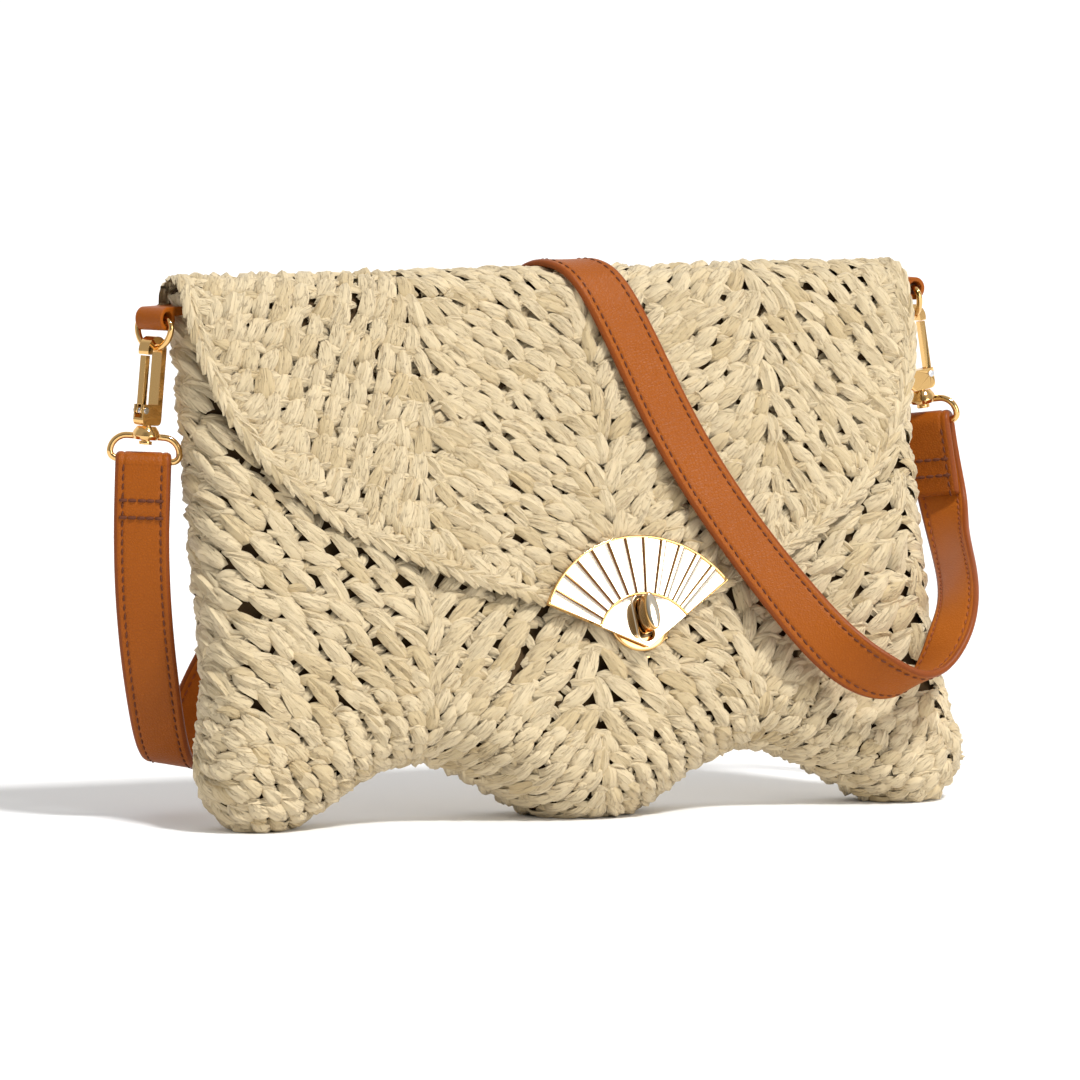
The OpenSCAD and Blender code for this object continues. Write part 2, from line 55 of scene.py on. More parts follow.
# ---------------------------------------------------------------- camera
AIM = Vector((0.0, 0.0, 0.090))
BACK = Vector((-0.388, -0.9175, 0.0872)).normalized()
CAMERA_AWAY = 3.5
camera_data = bpy.data.cameras.new("camera")
camera_data.sensor_width = 36
camera_data.lens = 322
camera_data.shift_x = -0.0423
camera_data.shift_y = 0.0263
camera_data.clip_end = 20
camera = bpy.data.objects.new("camera", camera_data)
camera.location = AIM + BACK * CAMERA_AWAY
camera.rotation_euler = BACK.to_track_quat("Z", "Y").to_euler()
bpy.context.scene.collection.objects.link(camera)
bpy.context.scene.camera = camera
bpy.context.scene.view_settings.view_transform = "Standard"

# ---------------------------------------------------------------- sizes in mm, in the bag's own upright frame
LEAN = math.radians(14)
BAG_HALF = 142.0
BAG_H = 197.5
LOBE_PITCH = 125.0
ARCH_H = 26.0
WAVE_LOW = -2.0
CORNER_X = 116.0
CORNER_RISE = (25.0, 13.0)  # left, right
FLARE, FLARE_Z, FLARE_RUN = 9, 18, 50
BELLY_R = 23.0
BELLY_Z = 21.8
TOP_R = 12.0
TOP_Z = 185.5
FACE_TILT = math.asin((BELLY_R - TOP_R) / (TOP_Z - BELLY_Z))
PLAN_R = 1271.0  # of the shallow curve across the front
RIM_Z = BAG_H - 1.5
BOTTOM_ROUND = 17.0
SIDE_ROUND = 13.0
FLOOR_GAP = 0.0002  # metres
HALF_U = BAG_HALF - SIDE_ROUND + SIDE_ROUND * np.pi / 2


def to_world(points):
    """Bag-frame millimetres to world metres."""
    x, y, z = points[:, 0], points[:, 1], points[:, 2]
    c, s = math.cos(LEAN), math.sin(LEAN)
    return np.stack([x, y * c + z * s, z * c - y * s], 1) * MM


def wave(x):
    """Height of the bag's lower edge at x. The outer lobes turn up at their outer corners, the left one more."""
    past = np.maximum(0, np.abs(x) - CORNER_X) / (BAG_HALF - CORNER_X)
    corner = np.where(x < 0, *CORNER_RISE) * past ** 2.3
    return ARCH_H * (1 - np.cos(2 * np.pi * x / LOBE_PITCH)) / 2 + WAVE_LOW + corner


def side_half(z):
    """Half the width of the bag at height z; the outer lobes flare a little at the foot."""
    return BAG_HALF - 1 + FLARE * np.maximum(0, 1 - np.maximum(0, z - FLARE_Z) / FLARE_RUN) ** 2


def rounding(e, radius):
    """For a distance e along the skin from an edge: the way in from the edge, and the share of full depth."""
    turn = np.minimum(e / radius, np.pi / 2)
    return radius * (1 - np.cos(turn)) + np.maximum(0, e - radius * np.pi / 2), np.sin(turn)


def across_at(u):
    """The x of a distance u along the skin from the middle."""
    return np.sign(u) * (BAG_HALF - rounding(np.abs(HALF_U - np.abs(u)), SIDE_ROUND)[0])


def lumps(x, z, seed):
    """Slow unevenness of hand crochet, about a millimetre."""
    return (0.8 * np.sin(x / 17 + seed) * np.sin(z / 13 + 2.1 * seed)
            + 0.6 * np.sin(x / 29 - z / 23 + 3 * seed))


def body_skin(u, s, inset=0.0):
    """The skin of the bag: u runs across from the middle, s up from the lower seam, and it goes on to the
    back past a seam. It lies inset mm under the outer surface."""
    e = HALF_U - np.abs(u)
    front = np.where(e < 0, -1.0, 1.0) * np.where(s < 0, -1.0, 1.0)
    d_side, share_side = rounding(np.abs(e), SIDE_ROUND)
    d_low, share_low = rounding(np.abs(s), BOTTOM_ROUND)
    x0 = np.sign(u) * (BAG_HALF - d_side)
    z = np.minimum(wave(x0) + d_low, RIM_Z)
    x = x0 * side_half(z) / BAG_HALF
    over = np.clip((z - TOP_Z) / TOP_R, 0, 0.92)
    profile = (BELLY_R - (z - BELLY_Z) * math.tan(FACE_TILT)) * np.sqrt(1 - over ** 2)
    plan = BELLY_R - x ** 2 / (2 * PLAN_R)
    half = 0.5 * (profile + plan - np.sqrt((profile - plan) ** 2 + 6))
    deep = (half + 0.5 + lumps(x, z, 1.0)) * share_low * share_side
    y = -(np.maximum(deep - inset * np.minimum(share_low * share_side * 2, 1), 0)) * front
    return np.stack([x, y, z], -1)


# The flap's profile: up the top of the back, over the crest and down the front, as arc length against (y, z)
FLAP_LIFT, SEAM_LIFT = 3.0, 0.4
CREST_BACK, CREST_FRONT = 84, -90 + math.degrees(FACE_TILT)
crest_turn = np.radians(np.concatenate([np.linspace(CREST_BACK, 40, 12), np.linspace(36, CREST_FRONT, 40)]))
crest_risen = np.clip((np.radians(CREST_BACK) - crest_turn) / np.radians(50), 0, 1)
crest_r = TOP_R + SEAM_LIFT + (FLAP_LIFT - SEAM_LIFT) * crest_risen
crest_yz = np.stack([crest_r * np.sin(crest_turn), TOP_Z + crest_r * np.cos(crest_turn)], 1)
down = np.array([-math.sin(FACE_TILT), -math.cos(FACE_TILT)])
flap_yz = np.vstack([crest_yz, crest_yz[-1] + np.outer(np.linspace(4, 150, 74), down)])
flap_arc = np.concatenate([[0], np.cumsum(np.hypot(*np.diff(flap_yz, axis=0).T))])
FRONT_ARC = float(flap_arc[len(crest_yz) - 1])


def flap_skin(x, s):
    """The middle of the flap's thickness, at x and at arc length s from the back."""
    y = np.interp(s, flap_arc, flap_yz[:, 0])
    z = np.interp(s, flap_arc, flap_yz[:, 1])
    y = y - lumps(x, z, 2.3) * 0.5
    return np.stack([x + 0 * s, y, z], -1)


def height_to_arc(z):
    """Arc length on the front of the flap for a height in the bag frame."""
    return np.interp(-z, -flap_yz[len(crest_yz) - 20:, 1], flap_arc[len(crest_yz) - 20:])


def bezier(points, count):
    """Points along one cubic curve."""
    t = np.linspace(0, 1, count)[:, None]
    a, b, c, d = (np.array(p, float) for p in points)
    return a * (1 - t) ** 3 + 3 * b * t * (1 - t) ** 2 + 3 * c * t ** 2 * (1 - t) + d * t ** 3


# The flap's outline on the front, as (x, z)
FLAP_LEFT = [[-143, 192], [-137, 125], [-95, 98], [-17, 75]]
FLAP_RIGHT = [[57, 80], [112, 103], [146, 130], [142, 192]]
FLAP_TIP = [19.6, 63.5]
edge_xz = np.vstack([bezier(FLAP_LEFT, 40), [FLAP_TIP], bezier(FLAP_RIGHT, 40)])
front_edge = np.stack([edge_xz[:, 0], height_to_arc(edge_xz[:, 1])], 1)
back_rise = np.linspace(4, front_edge[0, 1] - 2, 14)
flap_edge = np.vstack([np.stack([np.full(14, -BAG_HALF), back_rise], 1), front_edge,
                       np.stack([np.full(14, BAG_HALF), back_rise[::-1]], 1)])


def resample(path, pitch):
    """Points at an even pitch along an open polyline."""
    run = np.concatenate([[0], np.cumsum(np.linalg.norm(np.diff(path, axis=0), axis=1))])
    at = np.linspace(0, run[-1], max(2, int(round(run[-1] / pitch)) + 1))
    return np.stack([np.interp(at, run, path[:, k]) for k in range(path.shape[1])], 1)


def inside_depth(points, path):
    """Signed distance of 2-D points from an open edge path closed across its ends: positive inside."""
    loop = np.vstack([path, path[:1]])
    inside = np.zeros(len(points), bool)
    for (x1, y1), (x2, y2) in zip(loop[:-1], loop[1:]):
        cross = (y1 > points[:, 1]) != (y2 > points[:, 1])
        x_at = (x2 - x1) * (points[:, 1] - y1) / (y2 - y1 + 1e-12) + x1
        inside ^= cross & (points[:, 0] < x_at)
    far = np.full(len(points), 1e9)
    for a, b in zip(path[:-1], path[1:]):
        ab = b - a
        t = np.clip(((points - a) @ ab) / (ab @ ab + 1e-12), 0, 1)
        far = np.minimum(far, np.linalg.norm(points - a - t[:, None] * ab, axis=1))
    return np.where(inside, far, -far)


# ---------------------------------------------------------------- meshes
def new_mesh(name, points, faces, attributes=None, material=None, smooth=True):
    """A mesh object from world points (metres) and a face array, with float attributes per vertex."""
    mesh = bpy.data.meshes.new(name)
    faces = np.asarray(faces)
    count, sides = faces.shape
    mesh.vertices.add(len(points))
    mesh.vertices.foreach_set("co", np.asarray(points, np.float32).ravel())
    mesh.loops.add(count * sides)
    mesh.loops.foreach_set("vertex_index", faces.astype(np.int32).ravel())
    mesh.polygons.add(count)
    mesh.polygons.foreach_set("loop_start", np.arange(0, count * sides, sides, dtype=np.int32))
    mesh.polygons.foreach_set("use_smooth", np.full(count, smooth))
    mesh.update(calc_edges=True)
    mesh.validate()
    for key, values in (attributes or {}).items():
        mesh.attributes.new(key, "FLOAT", "POINT").data.foreach_set("value", np.asarray(values, np.float32))
    obj = bpy.data.objects.new(name, mesh)
    bpy.context.scene.collection.objects.link(obj)
    if material:
        mesh.materials.append(material)
    return obj


def grid_faces(rows, columns, wrap=False):
    """Quads of a grid of points, rows by columns; wrap closes it along the columns."""
    across = columns if wrap else columns - 1
    i, j = np.meshgrid(np.arange(rows - 1), np.arange(across), indexing="ij")
    k = (j + 1) % columns
    corners = [i * columns + j, i * columns + k, (i + 1) * columns + k, (i + 1) * columns + j]
    return np.stack(corners, -1).reshape(-1, 4)


# ---------------------------------------------------------------- crochet
ALONG, ACROSS = 9, 5
CREASED = np.array([0, 1, 2, 2, 3, 3, 4, 5])  # columns of a strand; a doubled one is a sharp crease


class Crochet:
    """Collects the flattened straw loops of one crocheted surface, then lays them all on its skin at once."""

    def __init__(self, seed):
        self.rng = np.random.default_rng(seed)
        self.flat, self.rise, self.tags = [], [], []

    def strand(self, centre, angle, length, width, height, bend, base, slope=0.0, mirror=1):
        """One visible run of folded straw, in mm. angle is measured from the skin's u axis, height is its hump,
        base its lift off the skin, and slope how fast the rows climb along u."""
        rng = self.rng
        t = np.linspace(0, 1, ALONG + 1)[:, None]
        v = np.linspace(-1, 1, ACROSS + 1)[None, :]
        head = rng.uniform(0.30, 0.5)
        swell = np.clip(t / rng.uniform(0.5, 0.75), 0, 1)
        wide = width / 2 * (head + (1 - head) * np.sin(swell * np.pi / 2) ** 0.9)
        wide = wide * (1 - rng.uniform(0.15, 0.5) * np.clip((t - 0.82) / 0.18, 0, 1) ** 1.5)
        along = length * (t - 0.5) + v * rng.normal(0, 0.5) * np.clip((t - 0.6) / 0.4, 0, 1) * width / 4
        side = bend * (1 - (2 * t - 1) ** 2) + rng.normal(0, 0.15) * np.sin(t * 6)
        twist = rng.normal(0, 0.45) * (t - 0.5) * 2 + rng.normal(0, 0.16)
        hump = height * (np.sin(np.pi * np.clip(t ** 0.85 * 0.97 + 0.02, 0, 1)) ** 0.6)
        pleat = rng.normal(0, 0.44, (1, ACROSS + 1)) * (0.35 + 0.65 * np.sin(np.pi * (0.1 + 0.8 * t)))
        pleat = pleat + rng.normal(0, 0.14, (ALONG + 1, ACROSS + 1))
        pleat[:, 0] = pleat[:, -1] = 0
        round_edge = -1.15 * np.abs(v) ** 3.2 * (0.55 + 0.45 * width / 5)
        lift = base + hump + round_edge + pleat * min(1, width / 4.5) + v * twist * wide * 0.5
        a = along + 0 * v
        b = side + v * wide
        c, s = math.cos(angle), math.sin(angle)
        dx = (a * c - b * s) * mirror
        dz = a * s + b * c
        ds = dz - dx * slope
        self.flat.append(np.stack([centre[0] + dx, centre[1] + ds], -1)[:, CREASED].reshape(-1, 2))
        self.rise.append(lift[:, CREASED].reshape(-1))
        a, b = a[:, CREASED], b[:, CREASED]
        tint = rng.uniform(0, 1)
        self.tags.append(np.stack([(a + rng.uniform(0, 900)).reshape(-1), b.reshape(-1), np.full(a.size, tint)], 1))

    def build(self, name, skin, material, floor=True, facing=1):
        """Lay every strand on the skin, skin(u, s) in bag-frame mm, as one mesh. facing is -1 where s runs down."""
        flat = np.vstack(self.flat)
        rise = np.concatenate(self.rise)
        tags = np.vstack(self.tags)
        step = 0.4
        here = skin(flat[:, 0], flat[:, 1])
        du = skin(flat[:, 0] + step, flat[:, 1]) - skin(flat[:, 0] - step, flat[:, 1])
        ds = skin(flat[:, 0], flat[:, 1] + step) - skin(flat[:, 0], flat[:, 1] - step)
        normal = np.cross(du, ds)
        normal *= facing / (np.linalg.norm(normal, axis=1, keepdims=True) + 1e-12)
        world = to_world(here + normal * rise[:, None])
        if floor:
            world[:, 2] = np.maximum(world[:, 2], FLOOR_GAP)
        size = (ALONG + 1) * len(CREASED)
        one = grid_faces(ALONG + 1, len(CREASED)).reshape(ALONG, -1, 4)
        one = one[:, np.diff(CREASED) > 0].reshape(-1, 4)
        faces = (one[None] + (np.arange(len(self.flat)) * size)[:, None, None]).reshape(-1, 4)
        return new_mesh(name, world, faces, {"along": tags[:, 0], "across": tags[:, 1], "tint": tags[:, 2]}, material)


def slant(x, columns, tilts, sharp=5.0):
    """Lean of the stitches from upright at x, in degrees: steps between the tilts at the given columns."""
    value = np.full_like(x, tilts[0], dtype=float)
    for column, before, after in zip(columns, tilts[:-1], tilts[1:]):
        value += (after - before) * 0.5 * (1 + np.tanh((x - column) / sharp))
    return value


# ---------------------------------------------------------------- materials
class Nodes:
    """A small helper that builds one node material."""

    def __init__(self, name):
        self.material = bpy.data.materials.new(name)
        self.material.use_nodes = True
        self.tree = self.material.node_tree
        self.shader = self.tree.nodes["Principled BSDF"]

    def add(self, kind, inputs=None, **settings):
        node = self.tree.nodes.new(kind)
        for key, value in settings.items():
            setattr(node, key, value)
        for key, value in (inputs or {}).items():
            socket = node.inputs[key]
            if isinstance(value, bpy.types.NodeSocket):
                self.tree.links.new(value, socket)
            else:
                socket.default_value = value
        return node

    def link(self, value, socket):
        self.tree.links.new(value, socket)

    def ramp(self, fac, stops):
        node = self.add("ShaderNodeValToRGB", {"Fac": fac})
        elements = node.color_ramp.elements
        while len(elements) < len(stops):
            elements.new(0.5)
        for element, (place, colour) in zip(elements, stops):
            element.position = place
            element.color = (*colour, 1)
        return node.outputs["Color"]

    def math(self, operation, a, b=0.0):
        return self.add("ShaderNodeMath", {0: a, 1: b}, operation=operation).outputs[0]

    def mix(self, fac, a, b, blend="MIX"):
        node = self.add("ShaderNodeMix", data_type="RGBA", blend_type=blend)
        for socket, value in zip((node.inputs[0], node.inputs[6], node.inputs[7]), (fac, a, b)):
            if isinstance(value, bpy.types.NodeSocket):
                self.tree.links.new(value, socket)
            else:
                socket.default_value = value if isinstance(value, (int, float)) else (*value, 1)
        return node.outputs[2]

    def noise(self, place, scale, detail, roughness=0.5, distortion=0.0):
        inputs = {"Scale": scale, "Detail": detail, "Roughness": roughness, "Distortion": distortion}
        if place is not None:
            inputs["Vector"] = place
        return self.add("ShaderNodeTexNoise", inputs).outputs["Fac"]

    def attribute(self, name):
        return self.add("ShaderNodeAttribute", attribute_name=name).outputs["Fac"]

    def bump(self, height, strength, distance, before=None):
        inputs = {"Height": height, "Strength": strength, "Distance": distance}
        if before is not None:
            inputs["Normal"] = before
        return self.add("ShaderNodeBump", inputs).outputs["Normal"]


def srgb(r, g, b):
    """Linear colour from 0-255 display values."""
    return tuple(((c / 255 + 0.055) / 1.055) ** 2.4 if c > 10 else c / 255 / 12.92 for c in (r, g, b))


def straw_material(name, light, dark):
    """Paper raffia: fine lengthwise fibres and creases with painted shade along the creases, a little colour change
    from loop to loop.
    """
    n = Nodes(name)
    along, across = n.attribute("along"), n.attribute("across")
    tint = n.attribute("tint")
    drawn_out = {"X": across, "Y": n.math("MULTIPLY", along, 0.10), "Z": n.math("MULTIPLY", along, 0.05)}
    place = n.add("ShaderNodeCombineXYZ", drawn_out).outputs[0]
    fibre = n.noise(place, 3.2, 5.0, 0.65)
    crease = n.noise(place, 1.1, 2.0, 0.5, 0.6)
    line = n.math("ABSOLUTE", n.math("SUBTRACT", crease, 0.5))
    groove_and_shade = n.ramp(line, [(0.0, (0, 0, 0)), (0.028, (1, 1, 1))])
    blotch = n.noise(None, 55.0, 2.0)
    base = n.ramp(tint, [(0.0, dark), (0.35, light), (1.0, tuple(min(1, c * 1.06) for c in light))])
    base = n.mix(n.math("MULTIPLY", n.math("SUBTRACT", 0.62, fibre), 0.55), base, srgb(176, 142, 88))
    base = n.mix(n.math("MULTIPLY", n.math("SUBTRACT", blotch, 0.35), 0.25), base, srgb(214, 188, 138))
    # painted shade: the crease lines are darkened toward brown as if shade fell in them; the same mask raises the
    # crease bump
    base = n.mix(n.math("MULTIPLY", n.math("SUBTRACT", 1.0, groove_and_shade), 0.42), base, srgb(150, 112, 62))
    n.link(base, n.shader.inputs["Base Color"])
    normal = n.bump(fibre, 0.7, 0.0007)
    normal = n.bump(groove_and_shade, 0.7, 0.0006, normal)
    n.link(normal, n.shader.inputs["Normal"])
    n.shader.inputs["Roughness"].default_value = 0.62
    n.shader.inputs["Specular IOR Level"].default_value = 0.35
    n.shader.inputs["Sheen Weight"].default_value = 0.15
    return n.material


def cloth_material(name, colour, shade):
    """Plain-woven lining cloth."""
    n = Nodes(name)
    place = n.add("ShaderNodeTexCoord").outputs["Object"]
    weave = n.add("ShaderNodeTexChecker", {"Vector": place, "Scale": 1600.0}).outputs["Fac"]
    cloud = n.noise(place, 30.0, 4.0)
    base = n.mix(n.math("MULTIPLY", cloud, 0.5), colour, shade)
    base = n.mix(n.math("MULTIPLY", weave, 0.25), base, shade)
    n.link(base, n.shader.inputs["Base Color"])
    n.link(n.bump(weave, 0.35, 0.0002), n.shader.inputs["Normal"])
    n.shader.inputs["Roughness"].default_value = 0.85
    return n.material


def leather_material(name, colour, deep, gloss=0.42, grain=0.35):
    """Finished leather with a fine pebble grain."""
    n = Nodes(name)
    place = n.add("ShaderNodeTexCoord").outputs["Object"]
    cells = n.add("ShaderNodeTexVoronoi", {"Vector": place, "Scale": 900.0}, feature="DISTANCE_TO_EDGE")
    pebble = n.ramp(cells.outputs["Distance"], [(0.0, (0, 0, 0)), (0.25, (1, 1, 1))])
    fine = n.noise(place, 1400.0, 3.0)
    cloud = n.noise(place, 38.0, 5.0, 0.6)
    base = n.mix(n.math("MULTIPLY", n.math("SUBTRACT", cloud, 0.3), 0.9), colour, deep)
    base = n.mix(n.math("MULTIPLY", n.math("SUBTRACT", 1.0, pebble), 0.30), base, deep)
    n.link(base, n.shader.inputs["Base Color"])
    normal = n.bump(pebble, grain, 0.00025)
    normal = n.bump(fine, 0.2, 0.0002, normal)
    n.link(normal, n.shader.inputs["Normal"])
    rough = n.math("ADD", n.math("MULTIPLY", cloud, 0.18), gloss - 0.09)
    n.link(rough, n.shader.inputs["Roughness"])
    n.shader.inputs["Specular IOR Level"].default_value = 0.15
    return n.material


def metal_material(name, colour, rough, brush=0.0):
    """Plated metal: polished, with a trace of unevenness, or brushed."""
    n = Nodes(name)
    place = n.add("ShaderNodeTexCoord").outputs["Object"]
    cloud = n.noise(place, 160.0, 4.0)
    shade = tuple(c * 0.86 for c in colour)
    n.link(n.mix(n.math("MULTIPLY", cloud, 0.25), colour, shade), n.shader.inputs["Base Color"])
    n.link(n.math("ADD", n.math("MULTIPLY", cloud, 0.06), rough), n.shader.inputs["Roughness"])
    if brush:
        stretched = n.add("ShaderNodeMapping", {"Vector": place, "Scale": (1, 1, 12)}).outputs[0]
        n.link(n.bump(n.noise(stretched, 700.0, 2.0), brush, 0.0001), n.shader.inputs["Normal"])
    n.shader.inputs["Metallic"].default_value = 1.0
    return n.material


straw = straw_material("straw", srgb(214, 196, 160), srgb(200, 179, 138))
# the lining under the crochet in a dark brown: painted shade for the gaps between the stitches
lining_with_painted_shade = cloth_material("lining_painted_shade", srgb(96, 70, 34), srgb(62, 44, 20))
lining_cloth = cloth_material("lining_cloth", srgb(170, 146, 104), srgb(132, 108, 70))
leather = leather_material("leather", srgb(154, 81, 17), srgb(136, 67, 12))
leather_inner = leather_material("leather_inner", srgb(178, 98, 28), srgb(156, 80, 20), 0.5, 0.2)
edge_paint = leather_material("edge_paint", srgb(138, 70, 26), srgb(112, 52, 18), 0.38, 0.08)
thread = cloth_material("thread", srgb(104, 50, 20), srgb(80, 38, 14))
thread_light = cloth_material("thread_light", srgb(150, 78, 34), srgb(122, 58, 24))
gold = metal_material("gold_metal", srgb(232, 188, 122), 0.08)
# darker and near-white copies of the gold: painted shade on the ribs' side walls, painted reflection on the mirror
# faces
dark_gold_painted_shade = metal_material("dark_gold_painted_shade", srgb(132, 84, 48), 0.38)
near_white_gold_painted_reflection = metal_material("gold_painted_reflection", srgb(255, 240, 216), 0.05)
steel = metal_material("steel", (0.60, 0.60, 0.62), 0.25, 0.2)

# ---------------------------------------------------------------- body crochet
DENSE_S = 36.0  # how far up the skin the close rows go
DENSE_PITCH, DENSE_SIZE, DENSE_ROW = 6.4, 0.68, 6.6
OPEN_PITCH, OPEN_ROW = 8.9, 11.4
BODY_COLUMNS = [-LOBE_PITCH / 2, 0, LOBE_PITCH / 2, 133]
BODY_TILTS = [-52, 52, -52, 52, -56]


def crochet_body(name, seed, front=True):
    """One face of the bag: rows that follow the lobes, close on the lobes and open above them. A stitch is a
    long run of straw, a short one across its head and mostly a link down to the next stitch."""
    work = Crochet(seed)
    rng = work.rng
    rows = [(s, DENSE_PITCH, DENSE_SIZE) for s in np.arange(1.5, DENSE_S, DENSE_ROW)]
    rows += [(s, OPEN_PITCH, 1.0) for s in np.arange(DENSE_S + 4.5, 206, OPEN_ROW)]
    for k, (s0, pitch, scale) in enumerate(rows):
        u_at = np.arange(-HALF_U - 2, HALF_U + 3, pitch) + (k % 5) * 0.6 * pitch % pitch
        for u in u_at:
            x = float(across_at(u))
            slope = float(wave(across_at(u + 0.5)) - wave(across_at(u - 0.5)))
            z = float(wave(x)) + s0
            if z > BAG_H - 3:
                continue
            tilt = float(slant(np.array([x]), BODY_COLUMNS, BODY_TILTS)[0])
            mirror = -1 if tilt > 0 else 1
            steep = math.radians(90 - abs(tilt))
            j = rng.normal(0, 0.55, 2) * scale
            size = scale * rng.uniform(0.9, 1.12)
            spot = (u + j[0], s0 + j[1])
            shorter, wide = (0.95, 8.2) if scale < 1 else (1, 6.5)
            work.strand(spot, -steep + rng.normal(0, 0.12), 15.6 * size * shorter, wide * size ** 0.8,
                        2.5, rng.normal(0.3, 0.4), 0.0, slope, mirror)
            top = (spot[0] - mirror * 2.8 * size, spot[1] + 4.0 * size + mirror * 2.8 * size * slope)
            work.strand(top, -0.12 + rng.normal(0, 0.16), 11.8 * size, 5.3 * size ** 0.6,
                        1.6, rng.uniform(0.6, 1.6), -0.2, slope, mirror)
            if rng.uniform() < 0.95:
                link = (spot[0] + mirror * 3.8 * size, spot[1] + 3.2 * size - mirror * 3.8 * size * slope)
                work.strand(link, 0.75 + rng.normal(0, 0.3), 9.0 * size, 4.0 * size ** 0.6,
                            1.0, rng.normal(0, 0.5), -0.9, slope, mirror)
    if front:
        return work.build(name, body_skin, straw)

    def back_skin(u, s):
        points = body_skin(-u, s)
        points[..., 1] *= -1
        return points
    return work.build(name, back_skin, straw)


front_crochet = crochet_body("crochet_front", 11)
back_crochet = crochet_body("crochet_back", 12, front=False)
for piece, node in ((front_crochet, "front_panel"), (back_crochet, "back_panel")):
    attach(piece, "bag")
    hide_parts(node)


# ---------------------------------------------------------------- lining
def lining_shell(name, inset, columns, rows, material, inward):
    """Both faces of a thin bag, closed below and open at the top, at a depth under the crochet, which shows
    through the gaps. Its faces look out, or into the bag if inward."""
    us = np.linspace(-HALF_U, HALF_U, columns)
    height = RIM_Z - wave(across_at(us))
    front = np.array([body_skin(us, share * height, inset) for share in np.linspace(0, 1, rows)])
    back = front * np.array([1, -1, 1])
    quads = grid_faces(rows, columns)
    front_quads, back_quads = (quads[:, ::-1], quads) if inward else (quads, quads[:, ::-1])
    faces = np.vstack([front_quads, back_quads + rows * columns])
    world = to_world(np.concatenate([front, back]).reshape(-1, 3))
    world[:, 2] = np.maximum(world[:, 2], FLOOR_GAP + 0.001)
    return new_mesh(name, world, faces, None, material)


# the outer sheet is the lining coloured dark brown, painted shade seen through the crochet's gaps
ground = lining_shell("lining_bag", 3.6, 121, 90, lining_with_painted_shade, False)
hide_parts("lining")
inner = lining_shell("lining_inside", 4.6, 81, 50, lining_cloth, True)
for piece in (ground, inner):
    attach(piece, "bag")


# ---------------------------------------------------------------- flap crochet
FLAP_VALLEYS = (-55.0, 79.0)
FLAP_PEAK = 12.5
FLAP_PITCH = FLAP_VALLEYS[1] - FLAP_VALLEYS[0]
FLAP_WAVE = 12.0
FLAP_ROW, FLAP_STITCH = 9.6, 6.6
BORDER_W = 7.0


def flap_wave(x):
    """How far the flap's rows rise at x."""
    return FLAP_WAVE * math.cos(2 * math.pi * (x - FLAP_PEAK) / FLAP_PITCH)


def crochet_flap():
    """The flap inside its border: wavy rows that lean the other way at each valley and peak."""
    work = Crochet(21)
    rng = work.rng
    columns = [FLAP_VALLEYS[0], FLAP_PEAK, FLAP_VALLEYS[1]]
    spots = []
    for k, level in enumerate(np.arange(-20, 190, FLAP_ROW)):
        for x in np.arange(-150, 151, FLAP_STITCH) + (k % 2) * FLAP_STITCH / 2:
            spots.append((x, level - flap_wave(x) + 6))
    spots = np.array(spots)
    depth = inside_depth(spots, flap_edge)
    keep = (depth > BORDER_W) & (spots[:, 1] > 2)
    for x, arc in spots[keep]:
        tilt = float(slant(np.array([x]), columns, [20, -58, 52, -42], 6.0)[0])
        mirror = -1 if tilt > 0 else 1
        steep = math.radians(90 - abs(tilt))
        j = rng.normal(0, 0.5, 2)
        size = rng.uniform(0.88, 1.12)
        spot = (x + j[0], arc + j[1])
        long, wide = (12.6, 6.9) if x < FLAP_VALLEYS[0] else (14.0, 6.2)
        work.strand(spot, steep + rng.normal(0, 0.14), long * size, wide * size,
                    2.5, rng.normal(0, 0.5), 0.0, mirror=mirror)
        head = (spot[0] - mirror * 2.6, spot[1] - 2.6)
        work.strand(head, steep * 0.45 - 0.5 + rng.normal(0, 0.3), 9.8 * size, 4.9 * size,
                    1.6, rng.uniform(-1.2, 0.4), -0.1, mirror=mirror)
        if rng.uniform() < 0.85:
            link = (spot[0] + mirror * 3.0, spot[1] + 1.0)
            work.strand(link, steep - 1.2 + rng.normal(0, 0.3), 8.0 * size, 3.9, 1.0, 0.3, -0.7, mirror=mirror)
    for x in np.arange(-138, 139, 5.0):  # the row sewn to the back
        seam = (x, 6.6 + rng.normal(0, 0.3))
        work.strand(seam, math.pi / 2 + rng.normal(0, 0.45), 12.0, 6.2, 2.2, rng.normal(0, 0.3), -0.3)
    return work.build("crochet_flap", flap_skin, straw, False, -1)


flap_crochet = crochet_flap()


def edge_frames(pitch):
    """Points along the flap's edge, with the directions along it and into the flap."""
    path = resample(flap_edge, pitch)
    tangent = np.gradient(path, axis=0)
    tangent /= np.linalg.norm(tangent, axis=1, keepdims=True)
    inward = np.stack([-tangent[:, 1], tangent[:, 0]], 1)
    middle = np.array([0.0, 60.0])
    if ((middle - path[len(path) // 4]) @ inward[len(path) // 4]) < 0:
        inward = -inward
    return path, tangent, inward


def heading(direction):
    return math.atan2(direction[1], direction[0])


